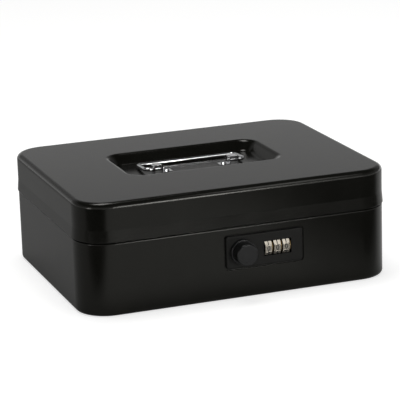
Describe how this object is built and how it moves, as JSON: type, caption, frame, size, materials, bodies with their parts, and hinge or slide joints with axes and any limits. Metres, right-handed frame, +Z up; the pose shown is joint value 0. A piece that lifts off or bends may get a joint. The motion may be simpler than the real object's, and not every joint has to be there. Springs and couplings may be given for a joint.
{
  "type": "cash box",
  "caption": "Steel cash box with hinged lid, folding bail handle in a pressed recess, lift-out coin tray, and number-wheel lock with a turning knob and latch.",
  "frame": {"origin": "centre of the flat base, on the surface it stands on", "axes": "+X along the front, towards the number wheels' side as seen from the front; -Y is the front with the lock; +Z is up"},
  "size_m": [0.2514, 0.2122, 0.087],
  "materials": {
    "shell_paint": "satin black powder coat",
    "plate_paint": "fine textured black",
    "knob_plastic": "semi-gloss moulded black",
    "wheel_metal": "satin plated, with dark figures",
    "sleeve_brass": "turned",
    "lock_zinc": "as cast",
    "plain_steel": "zinc plated",
    "spring_steel": "bright",
    "handle_chrome": "bright plated",
    "tray_plastic": "fine moulded grain"
  },
  "bodies": {
    "body": {"body_shell": "shell_paint", "tray_ledge_left": "shell_paint", "tray_ledge_right": "shell_paint", "lock_plate": "plate_paint", "lock_case": "lock_zinc", "lock_cover": "plain_steel", "lock_screws": "plain_steel", "wheel_axle": "plain_steel", "detent_spring": "spring_steel", "fence_comb": "plain_steel", "fence_spring": "spring_steel", "body_leaf_left": "plain_steel", "body_leaf_right": "plain_steel", "hinge_pin_left": "plain_steel", "hinge_pin_right": "plain_steel", "body_leaf_rivets": "plain_steel"},
    "lid": {"lid_shell": "shell_paint", "lid_leaf_left": "plain_steel", "lid_leaf_right": "plain_steel", "lid_leaf_rivets": "plain_steel", "lid_keeper": "plain_steel", "handle_bracket_left": "handle_chrome", "handle_bracket_right": "handle_chrome", "bracket_rivets": "handle_chrome"},
    "handle": {"bail_handle": "handle_chrome"},
    "latch": {"knob": "knob_plastic", "knob_spindle": "plain_steel", "spindle_clip": "plain_steel", "latch_tongue": "plain_steel", "tongue_screw": "plain_steel"},
    "wheel_1": {"number_wheel_1": "wheel_metal", "gate_sleeve_1": "sleeve_brass"},
    "wheel_2": {"number_wheel_2": "wheel_metal", "gate_sleeve_2": "sleeve_brass"},
    "wheel_3": {"number_wheel_3": "wheel_metal", "gate_sleeve_3": "sleeve_brass"},
    "lever": {"code_change_lever": "lock_zinc"},
    "tray": {"coin_tray": "tray_plastic"}
  },
  "joints": [
    {"name": "lid_hinge", "type": "hinge", "parent": "body", "child": "lid", "pos_m": [0, 0.0989, 0.0568], "axis": [-1, 0, 0], "range_deg": [0, 105]},
    {"name": "handle_fold", "type": "hinge", "parent": "lid", "child": "handle", "pos_m": [0, 0.001, 0.082], "axis": [1, 0, 0], "range_deg": [0, 187.3]},
    {"name": "knob_turn", "type": "hinge", "parent": "body", "child": "latch", "pos_m": [-0.0003, -0.0994, 0.0371], "axis": [0, -1, 0], "range_deg": [0, 90]},
    {"name": "wheel_1_turn", "type": "hinge", "parent": "body", "child": "wheel_1", "pos_m": [0.0203, -0.0941, 0.0371], "axis": [1, 0, 0], "continuous": true},
    {"name": "wheel_2_turn", "type": "hinge", "parent": "body", "child": "wheel_2", "pos_m": [0.0275, -0.0941, 0.0371], "axis": [1, 0, 0], "continuous": true},
    {"name": "wheel_3_turn", "type": "hinge", "parent": "body", "child": "wheel_3", "pos_m": [0.0347, -0.0941, 0.0371], "axis": [1, 0, 0], "continuous": true},
    {"name": "code_lever_slide", "type": "slide", "parent": "body", "child": "lever", "axis": [1, 0, 0], "range_m": [0, 0.004]},
    {"name": "tray_lift", "type": "slide", "parent": "body", "child": "tray", "axis": [0, 0, 1], "range_m": [0, 0.015]}
  ]
}
